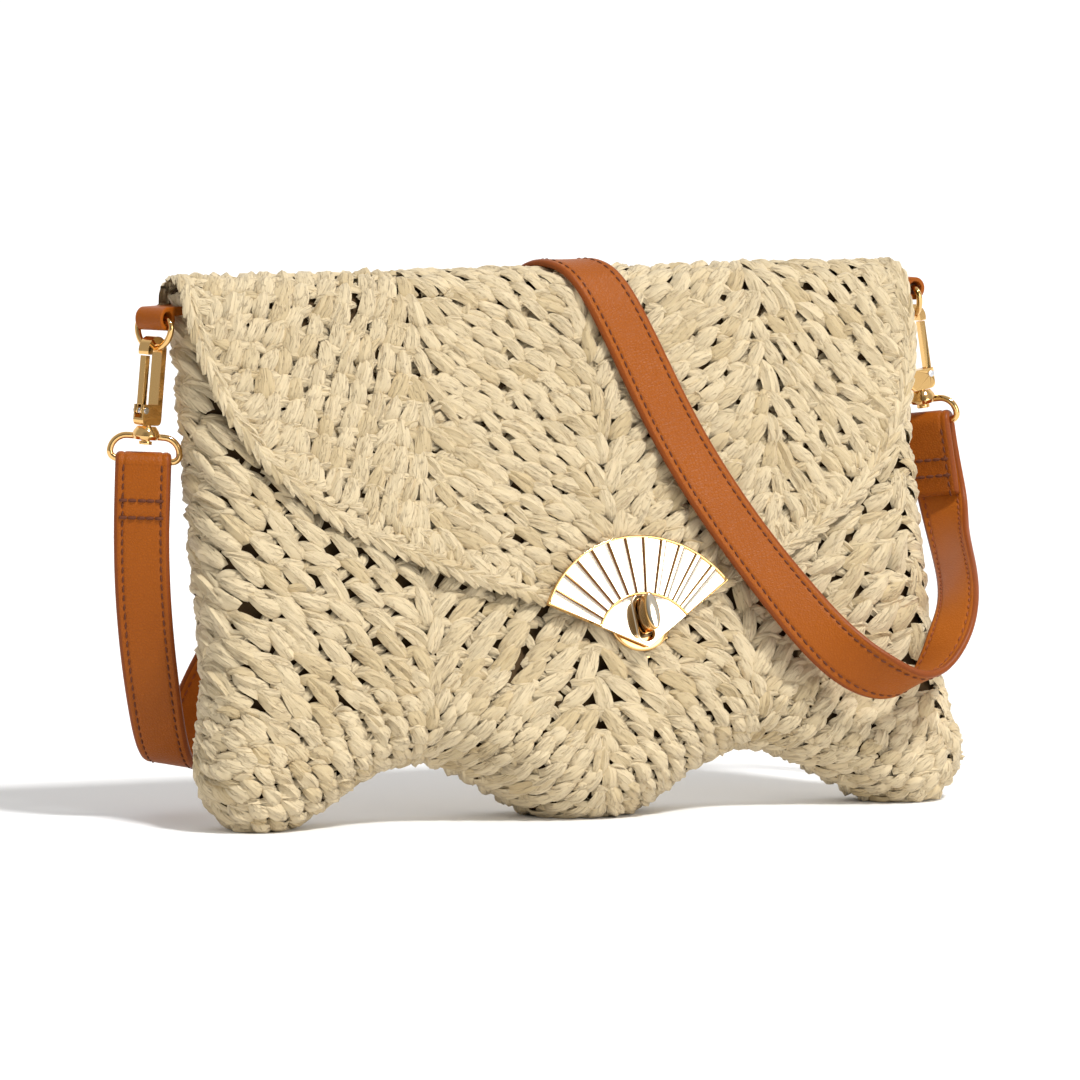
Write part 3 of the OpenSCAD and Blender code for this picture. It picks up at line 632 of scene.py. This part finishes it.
def crochet_border():
    """The dense border of the flap and the braided chain along its very edge."""
    work = Crochet(31)
    rng = work.rng
    for inset, pitch, length, width in ((9.0, 5.4, 8.0, 4.6), (5.4, 5.2, 7.4, 4.2)):
        path, tangent, inward = edge_frames(pitch)
        for p, t, n in zip(path, tangent, inward):
            spot = p + n * inset + rng.normal(0, 0.4, 2)
            lean = rng.normal(0.5, 0.35) * (1 if rng.uniform() < 0.7 else -1)
            direction = n * math.cos(lean) + t * math.sin(lean)
            work.strand(spot, heading(direction), length * rng.uniform(0.85, 1.15), width * rng.uniform(0.85, 1.15),
                        1.5, rng.normal(0, 0.5), 0.3)
    path, tangent, inward = edge_frames(5.4)
    for p, t, n in zip(path, tangent, inward):
        for side in (-1, 1):
            lean = side * 0.24 + rng.normal(0, 0.05)
            direction = t * math.cos(lean) + n * math.sin(lean)
            spot = p + n * (1.9 + side * 1.0) + t * (side * 1.35)
            work.strand(spot, heading(direction), 11.4 * rng.uniform(0.92, 1.08), 3.7, 1.8, rng.normal(0, 0.2), 0.7)
    return work.build("crochet_flap_border", flap_skin, straw, False, -1)


flap_border = crochet_border()


GROUND_DEPTH, PLATE_DEPTH = 2.2, 0.4
LOCK_X, LOCK_Z = 19.6, 68.0
LOCK_HOLE = 5.0
SEAM_ARC = 8.0


def flap_ground():
    """The backing cloth on the inside of the flap, a dark brown as painted shade in the crochet's gaps, closer to
    the crochet under the clasp's backing plate and cut out round the lock."""
    xs = np.linspace(-BAG_HALF, BAG_HALF, 143)
    arcs = np.arange(0.5, FRONT_ARC + 130, 1.75)
    gx, ga = np.meshgrid(xs, arcs)
    flat = np.stack([gx.ravel(), ga.ravel()], 1)
    depth = inside_depth(flat, flap_edge)
    skin = flap_skin(flat[:, 0], flat[:, 1])
    d = flap_skin(flat[:, 0], flat[:, 1] + 0.4) - flap_skin(flat[:, 0], flat[:, 1] - 0.4)
    normal = np.stack([np.zeros(len(d)), d[:, 2], -d[:, 1]], 1)
    normal /= np.linalg.norm(normal, axis=1, keepdims=True)
    faces = grid_faces(*gx.shape)
    low, high = (np.array(v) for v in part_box("fan_backing_plate"))
    beside = np.abs(to_world(skin) - (low + high) / 2) > (high - low) / 2 + 0.001
    under_plate = ~(beside[:, 0] | beside[:, 2])
    points = to_world(skin - normal * np.where(under_plate, PLATE_DEPTH, GROUND_DEPTH)[:, None])
    lock = np.array([LOCK_X, float(height_to_arc(np.array(LOCK_Z)))])
    clear = np.linalg.norm(flat - lock, axis=1) > LOCK_HOLE
    good = (((depth > 1.0) | (flat[:, 1] < SEAM_ARC)) & clear)[faces].all(axis=1)
    used, index = np.unique(faces[good], return_inverse=True)
    return new_mesh("flap_lining", points[used], index.reshape(-1, 4), None, lining_with_painted_shade)


ground = flap_ground()
for piece in (flap_crochet, flap_border, ground):
    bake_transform(piece)
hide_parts("flap_panel")
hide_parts("flap_edging")

# ---------------------------------------------------------------- strap
LEAN_C, LEAN_S = math.cos(LEAN), math.sin(LEAN)
STRAP_CREST_R = 19.1


def leaned(p):
    """A point or direction of the bag's frame, leaned back with it."""
    return [p[0], p[1] * LEAN_C + p[2] * LEAN_S, p[2] * LEAN_C - p[1] * LEAN_S]


def crest(x, turn):
    """A place of the strap over the top edge, turn degrees back from upright, and its outward direction."""
    c, s = math.cos(math.radians(turn)), math.sin(math.radians(turn))
    return leaned([x, STRAP_CREST_R * s, TOP_Z + STRAP_CREST_R * c]), leaned([0, s, c])


def front_run(x, y, z):
    """A place of the strap on the front, and its outward direction."""
    return leaned([x, y, z]), leaned([0, -1, 0])


# The strap's route from the left eye to the right one: places in mm, each with the strip's outward direction
STRAP = [([-157, 37, 130], [-.39, -.92, 0]), ([-158, 36, 112], [-.39, -.92, 0]), ([-158, 36, 90], [-.39, -.92, 0]),
         ([-156, 37, 66], [-.42, -.9, -.05]), ([-152, 40, 44], [-.5, -.84, -.2]), ([-146, 48, 26], [-.5, -.6, -.6]),
         ([-137, 60, 18], [-.2, -.1, -1]), ([-127, 73, 25], [0, .6, -.8]), ([-117, 79, 44], [0, .95, -.25]),
         ([-104, 78, 66], [0, 1, 0]), ([-86, 75, 90], [0, 1, .05]), ([-64, 72, 114], [0, 1, .1]),
         ([-42, 70, 138], [0, 1, .15]), ([-21, 70, 161], [0, 1, .2]), crest(-4, 86), crest(4, 40), crest(9, 0),
         crest(15, -40), crest(20, -78), front_run(28, -20.8, 169), front_run(40, -23.6, 135), front_run(54, -28, 106),
         front_run(67, -31, 84), ([88, -22, 60], [-.05, -.98, -.15]), ([104, -27, 49], [-.1, -.85, -.5]),
         ([119.7, -26, 45], [.1, -.35, -.93]), ([131.2, -21.3, 53.5], [.45, .1, -.88]),
         ([139.6, -16.6, 66.5], [.75, .35, -.55]), ([150.6, 3.0, 78.3], [.85, .45, -.28]),
         ([160.5, 31, 90.5], [.87, .48, -.1]), ([164.4, 45, 104.3], [.76, .64, 0]),
         ([161.7, 48.3, 120.5], [.68, .73, .08]), ([159.2, 48.3, 135.5], [.66, .74, .11])]


def smooth_path(points, steps):
    """Catmull-Rom through the points."""
    points = np.array(points, float)
    padded = np.vstack([points[0], points, points[-1]])
    out = []
    for i in range(len(points) - 1):
        a, b, c, d = padded[i:i + 4]
        square, cube = 2 * a - 5 * b + 4 * c - d, 3 * b - a - 3 * c + d
        for t in np.arange(steps) / steps:
            out.append(0.5 * (2 * b + (c - a) * t + square * t ** 2 + cube * t ** 3))
    out.append(points[-1])
    return np.array(out)


def eased(values, rounds):
    """Take the small unevenness out of a run of points, ends held."""
    values = values.copy()
    for _ in range(rounds):
        values[1:-1] += 0.25 * (values[:-2] - 2 * values[1:-1] + values[2:])
    return values


def frames_along(place, outward):
    """Unit directions along, across and out of a strip."""
    along = np.gradient(place, axis=0)
    along /= np.linalg.norm(along, axis=1, keepdims=True)
    out = outward - along * (outward * along).sum(1, keepdims=True)
    out /= np.linalg.norm(out, axis=1, keepdims=True)
    return along, np.cross(along, out), out


STRAP_W, STRAP_T = 20.0, 3.0
STRAP_STEPS = 10
STITCH_IN = 3.1
STITCH_PITCH = 3.3
STITCH_GRID = 6  # points along and round one stitch
SEAM_ROWS = (13.2, 19.4)
FOLD_R = 3.0
TAIL = 27.0
strap_place = eased(smooth_path([p for p, _ in STRAP], STRAP_STEPS), 40)
strap_out = eased(smooth_path([o for _, o in STRAP], STRAP_STEPS), 60)


def strip_section():
    """Cross-section of the strap as (across, out, zone): zone 0 is the outer face, 1 the painted edge, 2 the
    inner face. The stitch lines lie in shallow channels and the rims outside them are round."""
    half, deep = STRAP_W / 2, STRAP_T / 2
    spread = np.array([0, 0.25, 0.5, 0.75, 0.9, 1.0])
    channel = half - STITCH_IN
    rim = [channel - 0.3, channel, channel + 0.3, channel + 0.9, half - 1.3]
    side = np.concatenate([spread * (channel - 0.7), rim])
    face = np.concatenate([-side[:0:-1], side])
    past = np.abs(face) - channel
    level = deep - 0.3 * np.exp(-(past / 0.45) ** 2) - 0.22 * np.clip(past / 3, 0, 1) ** 2
    turns = np.radians(np.linspace(75, -75, 7))
    edge_x, edge_y = half - 1.25 + 1.25 * np.cos(turns), (deep - 0.2) * np.sin(turns)
    rows = [(x, y, 0) for x, y in zip(face, level)] + [(x, y, 1) for x, y in zip(edge_x, edge_y)]
    rows += [(x, -y, 2) for x, y in zip(face[::-1], level[::-1])] + [(-x, -y, 1) for x, y in zip(edge_x, edge_y)]
    return np.array(rows)


def strip(name, place, outward, capped_end=False):
    """A strip of the strap's leather swept along a path in world mm."""
    section = strip_section()
    _, across, out = frames_along(place, outward)
    points = place[:, None] + across[:, None] * section[None, :, :1] + out[:, None] * section[None, :, 1:2]
    count = len(section)
    faces = grid_faces(len(place), count, True)
    zone = section[:, 2].astype(int)
    column = np.where(zone != np.roll(zone, -1), 1, zone)
    mats = np.tile(column, len(place) - 1)
    points = points.reshape(-1, 3)
    obj = new_mesh(name, points * MM, faces)
    for material in (leather, edge_paint, leather_inner):
        obj.data.materials.append(material)
    obj.data.polygons.foreach_set("material_index", mats.astype(np.int32))
    if capped_end:
        work = bmesh.new()
        work.from_mesh(obj.data)
        work.verts.ensure_lookup_table()
        cap = work.faces.new(work.verts[-count:])
        cap.material_index = 1
        work.to_mesh(obj.data)
        work.free()
    return obj


class Stitches:
    """Short thread runs lying on a surface."""

    def __init__(self, seed):
        self.rng = np.random.default_rng(seed)
        self.points = []

    def one(self, centre, direction, normal, length, radius=0.34):
        """One stitch: half a thread that dips into the leather at both ends."""
        t = np.linspace(-1, 1, STITCH_GRID)[:, None]
        a = np.linspace(-0.1, math.pi + 0.1, STITCH_GRID)[None, :]
        side = np.cross(normal, direction)
        lift = 0.12 + 0.30 * (1 - t ** 2)
        thin = radius * (1 - 0.35 * t ** 4)
        point = (centre + direction * (t * length / 2)[..., None] + side * (thin * np.cos(a))[..., None]
                 + normal * (lift + thin * np.sin(a) - 0.35)[..., None])
        self.points.append(point.reshape(-1, 3))

    def along(self, place, outward, face):
        """Two lines of stitches on one face of a strip; face is 1 outside, -1 inside."""
        run = np.concatenate([[0], np.cumsum(np.linalg.norm(np.diff(place, axis=0), axis=1))])
        tangent, across, out = frames_along(place, outward)
        for at in np.arange(STITCH_PITCH / 2, run[-1], STITCH_PITCH):
            here, t, c, o = (np.array([np.interp(at, run, v[:, k]) for k in range(3)])
                             for v in (place, tangent, across, out))
            for side in (-1, 1):
                slant_by = 0.10 * side * face
                direction = t * math.cos(slant_by) + c * math.sin(slant_by)
                centre = here + c * side * (STRAP_W / 2 - STITCH_IN) + o * face * (STRAP_T / 2 - 0.12)
                self.one(centre, direction, o * face, STITCH_PITCH * self.rng.uniform(0.68, 0.76))

    def build(self, name, material):
        points = np.vstack(self.points)
        one = grid_faces(STITCH_GRID, STITCH_GRID)
        starts = np.arange(len(self.points)) * STITCH_GRID ** 2
        faces = (one[None] + starts[:, None, None]).reshape(-1, 4)
        return new_mesh(name, points * MM, faces, None, material)


SPLIT = 16 * STRAP_STEPS  # where the strap tops the bag
STRAP_PARTS = (("back", slice(0, SPLIT + 1)), ("front", slice(SPLIT, None)))
for part, piece in STRAP_PARTS:
    run_place, run_out = strap_place[piece], strap_out[piece]
    obj = strip(f"strap_{part}_run", run_place, run_out)
    sewing = Stitches(41)
    sewing.along(run_place, run_out, 1)
    outer_thread = sewing.build(f"strap_{part}_stitching", thread)
    sewing = Stitches(42)
    sewing.along(run_place, run_out, -1)
    inner_thread = sewing.build(f"strap_{part}_inner_stitching", thread_light)
    for made in (obj, outer_thread, inner_thread):
        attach(made, "bag")
    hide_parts("strap")


def strap_end(side, end_place, end_out, up):
    """The strap's end turned round the bar of its eye and sewn down with two rows of stitches."""
    centre = end_place - end_out * FOLD_R
    turns = np.radians(np.linspace(0, 180, 19))
    fold = centre + FOLD_R * (np.outer(np.cos(turns), end_out) + np.outer(np.sin(turns), up))
    fold_out = np.outer(np.cos(turns), end_out) + np.outer(np.sin(turns), up)
    steps = np.linspace(1.5, TAIL, 14)
    tail = centre - end_out * FOLD_R - np.outer(steps, up)
    path = np.vstack([end_place - up * 0.4, fold, tail])
    outs = np.vstack([end_out, fold_out, np.tile(-end_out, (len(tail), 1))])
    obj = strip(f"strap_end_{side}_fold", path, outs, True)
    sewing = Stitches(43)
    sewing.along(path[len(turns) + 1:], outs[len(turns) + 1:], 1)
    across = np.cross(up, end_out)
    for row in SEAM_ROWS:
        for shift in np.arange(-STRAP_W / 2 + 3.4, STRAP_W / 2 - 3, 3.3):
            for face, base in ((1, end_place), (-1, centre - end_out * FOLD_R)):
                spot = base - up * row + across * (shift + sewing.rng.normal(0, 0.1))
                spot = spot + end_out * face * (STRAP_T / 2 - 0.05)
                sewing.one(spot, across, end_out * face, 2.9, 0.62)
    sewn = sewing.build(f"strap_end_{side}_stitching", thread)
    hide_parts(f"strap_end_{side}")
    for made in (obj, sewn):
        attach(made, "bag")


tangents, _, outs = frames_along(strap_place, strap_out)
strap_end("left", strap_place[0], outs[0], -tangents[0])
strap_end("right", strap_place[-1], outs[-1], tangents[-1])


# ---------------------------------------------------------------- hardware
BEVEL_ANGLE = math.radians(28)


def polished(name, nodes, material, body, width=0.25, segments=2):
    """The CAD shapes as one piece with rounded edges and smooth shading."""
    work = bmesh.new()
    for node in nodes:
        source = bpy.data.objects[node]
        part = source.data.copy()
        part.transform(source.matrix_world)
        work.from_mesh(part)
        bpy.data.meshes.remove(part)
    bmesh.ops.remove_doubles(work, verts=work.verts, dist=1e-6)
    mesh = bpy.data.meshes.new(name)
    for face in work.faces:
        face.smooth = True
    work.to_mesh(mesh)
    work.free()
    mesh.materials.clear()
    mesh.materials.append(material)
    for polygon in mesh.polygons:
        polygon.material_index = 0
    obj = bpy.data.objects.new(name, mesh)
    bpy.context.scene.collection.objects.link(obj)
    bevel = obj.modifiers.new("rounding", "BEVEL")
    bevel.width, bevel.segments, bevel.limit_method = width * MM, segments, "ANGLE"
    bevel.angle_limit = BEVEL_ANGLE
    bevel.use_clamp_overlap = True
    flat = obj.modifiers.new("flat faces", "WEIGHTED_NORMAL")
    flat.weight, flat.keep_sharp = 100, True
    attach(obj, body)
    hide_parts(*nodes)
    return obj


polished("clasp_base_plate", ["fan_base_plate"], gold, "flap")
polished("clasp_rim", ["fan_rim"], gold, "flap", 0.22)
# the pivot plate in near-white gold: a painted reflection
polished("clasp_pivot_plate", ["fan_pivot_plate"], near_white_gold_painted_reflection, "flap", 0.2)
polished("clasp_back_plate", ["fan_backing_plate"], gold, "flap", 0.2)
polished("clasp_rivets", ["fan_rivets"], gold, "flap", 0.15)
polished("lock_base", ["turnlock_base"], gold, "bag", 0.3, 3)
polished("lock_washer", ["turnlock_washer"], steel, "bag", 0.1)
polished("lock_spindle", ["turnlock_spindle"], steel, "knob", 0.1)
for side in ("left", "right"):
    polished(f"tab_{side}_leather", [f"tab_{side}"], leather, "bag", 0.9, 4)
    polished(f"tab_{side}_stud", [f"tab_stud_{side}"], gold, "bag", 0.2)
    polished(f"ring_{side}", [f"tab_ring_{side}"], gold, f"ring_{side}", 0.1)
    polished(f"clip_{side}_hook", [f"clip_hook_{side}"], gold, f"clip_{side}", 0.45, 3)
    polished(f"clip_{side}_gate", [f"clip_gate_{side}"], gold, f"gate_{side}", 0.3)
    polished(f"clip_{side}_pin", [f"gate_pin_{side}"], steel, f"clip_{side}", 0.1)
    polished(f"clip_{side}_spring", [f"gate_spring_{side}"], steel, f"clip_{side}", 0.02)
    polished(f"swivel_{side}_spindle", [f"swivel_spindle_{side}"], gold, f"clip_{side}", 0.2)
    polished(f"swivel_{side}_eye", [f"swivel_eye_{side}"], gold, "bag", 0.2)

# The fan turns about a point below the lock, and its leaves run between two radii
FAN_X, FAN_Z, FAN_TURN = LOCK_X, 56.5, math.radians(5)
FAN_R, FAN_HALF, FAN_INNER, FAN_LEAVES = 41.5, 60.5, 19.8, 12
LEAF_LEVEL = 6.7
face_at = -(BELLY_R / math.cos(FACE_TILT) - (FAN_Z - BELLY_Z) * math.tan(FACE_TILT))


def on_fan(points):
    """Fan-frame mm (right, up the face, outwards) to world metres."""
    x = points[:, 0] * math.cos(FAN_TURN) - points[:, 1] * math.sin(FAN_TURN)
    y = points[:, 0] * math.sin(FAN_TURN) + points[:, 1] * math.cos(FAN_TURN)
    out = points[:, 2]
    c, s = math.cos(FACE_TILT), math.sin(FACE_TILT)
    return to_world(np.stack([FAN_X + x, face_at + y * s - out * c, FAN_Z + y * c + out * s], 1))


def fan_leaves():
    """Mirror-polished leaves, slightly crowned, in a near-white gold as a painted reflection, between flat-topped
    raised ribs with side walls in dark gold as painted shade.
    """
    step = 2 * FAN_HALF / FAN_LEAVES
    radii = np.linspace(FAN_INNER + 0.2, FAN_R - 0.5, 10)
    wall = np.array([-1.3, -0.9, -0.35, 0.85, 1.3])
    rows, column_mats = [], []
    for r in radii:
        size = 0.62 + 0.38 * (r - FAN_INNER) / (FAN_R - FAN_INNER)
        reach = math.degrees(1.25 * size / r)
        row, column_mats = [], []
        for i in range(FAN_LEAVES):
            a0, a1 = FAN_HALF - i * step, FAN_HALF - (i + 1) * step
            first, last = (0 if i == 0 else reach), (0 if i == FAN_LEAVES - 1 else reach)
            if i:
                # the rib's side walls take the dark gold as painted shade, the faces between the near-white gold as
                # painted reflection
                for k, height, kind in zip(wall, (0.0, 0.5, 0.6, 0.6, 0.0), (1, 2, 0, 1, 0)):
                    row.append((a0 - math.degrees(k * size / r), height))
                    column_mats.append(kind)
            for t in np.linspace(0.06, 0.94, 7):
                row.append((a0 - first + (a1 + last - a0 + first) * t, 0.05 * (1 - (2 * t - 1) ** 2)))
                column_mats.append(0)
        angles, heights = np.radians([a for a, _ in row]), np.array([h for _, h in row])
        rows.append(np.stack([-r * np.sin(angles), r * np.cos(angles), LEAF_LEVEL + heights], 1))
    points = np.array(rows)
    faces = grid_faces(*points.shape[:2])
    # leaves in near-white gold as a painted reflection, rib walls in dark gold as painted shade
    obj = new_mesh("clasp_leaves", on_fan(points.reshape(-1, 3)), faces, None, near_white_gold_painted_reflection, False)
    obj.data.materials.append(dark_gold_painted_shade)
    obj.data.materials.append(gold)
    mats = np.tile(column_mats[:-1], len(radii) - 1)
    obj.data.polygons.foreach_set("material_index", mats.astype(np.int32))
    return obj


def lock_axes():
    """The middle of the lock's blade in world metres, and the lock's right, up and outward directions."""
    low, high = (np.array(v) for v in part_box("turnlock_knob"))
    c, s = math.cos(FAN_TURN), math.sin(FAN_TURN)
    out = np.array(leaned([0, -math.cos(FACE_TILT), math.sin(FACE_TILT)]))
    up = np.array(leaned([0, math.sin(FACE_TILT), math.cos(FACE_TILT)]))
    right = np.cross(up, out)
    return (low + high) / 2, right * c + up * s, up * c - right * s, out


def turned(name, profile, material, segments):
    """Rings of ellipses about the lock's axis, each a height from the blade's middle and two half-widths, in mm."""
    middle, right, up, out = lock_axes()
    turn = np.linspace(0, 2 * math.pi, segments, endpoint=False)
    rows = [middle + MM * (np.outer(wide * np.cos(turn), right) + np.outer(tall * np.sin(turn), up) + height * out)
            for height, wide, tall in profile]
    return new_mesh(name, np.vstack(rows), grid_faces(len(profile), segments, True), None, material)


KNOB_SIDES, FLANGE_SIDES = 64, 96
KNOB = [(-4.2, 2.4, 6.5), (-3.2, 2.5, 6.6), (-1.6, 2.6, 6.7), (0.4, 2.65, 6.8), (2.6, 2.75, 6.9), (3.7, 2.75, 6.9),
        (4.2, 2.65, 6.8), (4.5, 2.4, 6.5), (4.6, 2.2, 6.2), (4.8, 1.3, 4.2), (4.85, 0.4, 1.4)]
KNOB_FACE = 2  # the last bands of the profile, in near-white gold as a painted highlight
FLANGE = [(-9.6, 9.0, 9.0), (-9.4, 11.6, 11.6), (-9.0, 12.2, 12.2), (-8.5, 12.3, 12.3), (-8.0, 12.1, 12.1),
          (-7.8, 11.6, 11.6), (-7.8, 7.0, 7.6)]


def lock_knob():
    """The oval fin of the turn-lock: a body that swells to a softly domed oval face, whose near-white gold is a
    painted highlight.
    """
    obj = turned("lock_knob", KNOB, gold, KNOB_SIDES)
    obj.data.materials.append(near_white_gold_painted_reflection)
    bands = np.arange(len(KNOB) - 1) >= len(KNOB) - 1 - KNOB_FACE
    obj.data.polygons.foreach_set("material_index", np.repeat(bands, KNOB_SIDES).astype(np.int32))
    work = bmesh.new()
    work.from_mesh(obj.data)
    work.verts.ensure_lookup_table()
    end = work.faces.new(work.verts[-KNOB_SIDES:])
    end.material_index = 1
    end.smooth = True
    work.faces.new(work.verts[:KNOB_SIDES][::-1])
    bmesh.ops.recalc_face_normals(work, faces=work.faces)
    work.to_mesh(obj.data)
    work.free()
    return obj


flange = turned("lock_flange", FLANGE, gold, FLANGE_SIDES)
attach(flange, "bag")
knob = lock_knob()
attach(knob, "knob")
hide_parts("turnlock_knob")
leaves = fan_leaves()
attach(leaves, "flap")
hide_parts("fan_leaves")

# ---------------------------------------------------------------- floor, light
bpy.ops.mesh.primitive_plane_add(size=8, location=(0, 0, 0))
floor = bpy.context.object
floor.name = "floor"
n = Nodes("floor_white")
n.shader.inputs["Base Color"].default_value = (0.9, 0.9, 0.9, 1)
n.shader.inputs["Roughness"].default_value = 0.9
floor.data.materials.append(n.material)

# The room: a white backdrop behind the bag, darker towards the side it is seen from
world = bpy.data.worlds.new("studio")
bpy.context.scene.world = world
world.use_nodes = True
background = world.node_tree.nodes["Background"]
nodes, links = world.node_tree.nodes, world.node_tree.links
facing = nodes.new("ShaderNodeVectorMath")
facing.operation = "DOT_PRODUCT"
facing.inputs[1].default_value = (-0.388, -0.917, 0.087)
links.new(nodes.new("ShaderNodeTexCoord").outputs["Generated"], facing.inputs[0])
halve = nodes.new("ShaderNodeMath")
halve.operation = "MULTIPLY_ADD"
halve.inputs[1].default_value, halve.inputs[2].default_value = 0.5, 0.5
links.new(facing.outputs["Value"], halve.inputs[0])
fade = nodes.new("ShaderNodeValToRGB")
links.new(halve.outputs[0], fade.inputs["Fac"])
links.new(fade.outputs["Color"], background.inputs["Color"])
stops = ((0.0, 1.0), (0.30, 1.0), (0.5, 0.47), (0.85, 0.50), (0.93, 0.26), (1.0, 0.16))
while len(fade.color_ramp.elements) < len(stops):
    fade.color_ramp.elements.new(0.5)
for element, (place, level) in zip(fade.color_ramp.elements, stops):
    element.position, element.color = place, (level, level, level, 1)
background.inputs["Strength"].default_value = 1.06


def area_light(name, place, aim, size, power):
    """A round soft lamp at a place, turned to an aim point."""
    data = bpy.data.lights.new(name, "AREA")
    data.shape, data.size, data.energy = "DISK", size, power
    lamp = bpy.data.objects.new(name, data)
    lamp.location = place
    lamp.rotation_euler = (Vector(place) - Vector(aim)).to_track_quat("Z", "Y").to_euler()
    bpy.context.scene.collection.objects.link(lamp)


sun = bpy.data.lights.new("key", "SUN")
sun.energy, sun.angle = 2.75, math.radians(9)
sun_lamp = bpy.data.objects.new("key", sun)
sun_lamp.rotation_euler = Vector((0.34, -0.8, 1.3)).to_track_quat("Z", "Y").to_euler()
bpy.context.scene.collection.objects.link(sun_lamp)
area_light("softbox", (0.80, -1.85, 0.60), (0, 0, 0.1), 1.1, 12)

bpy.context.view_layer.update()
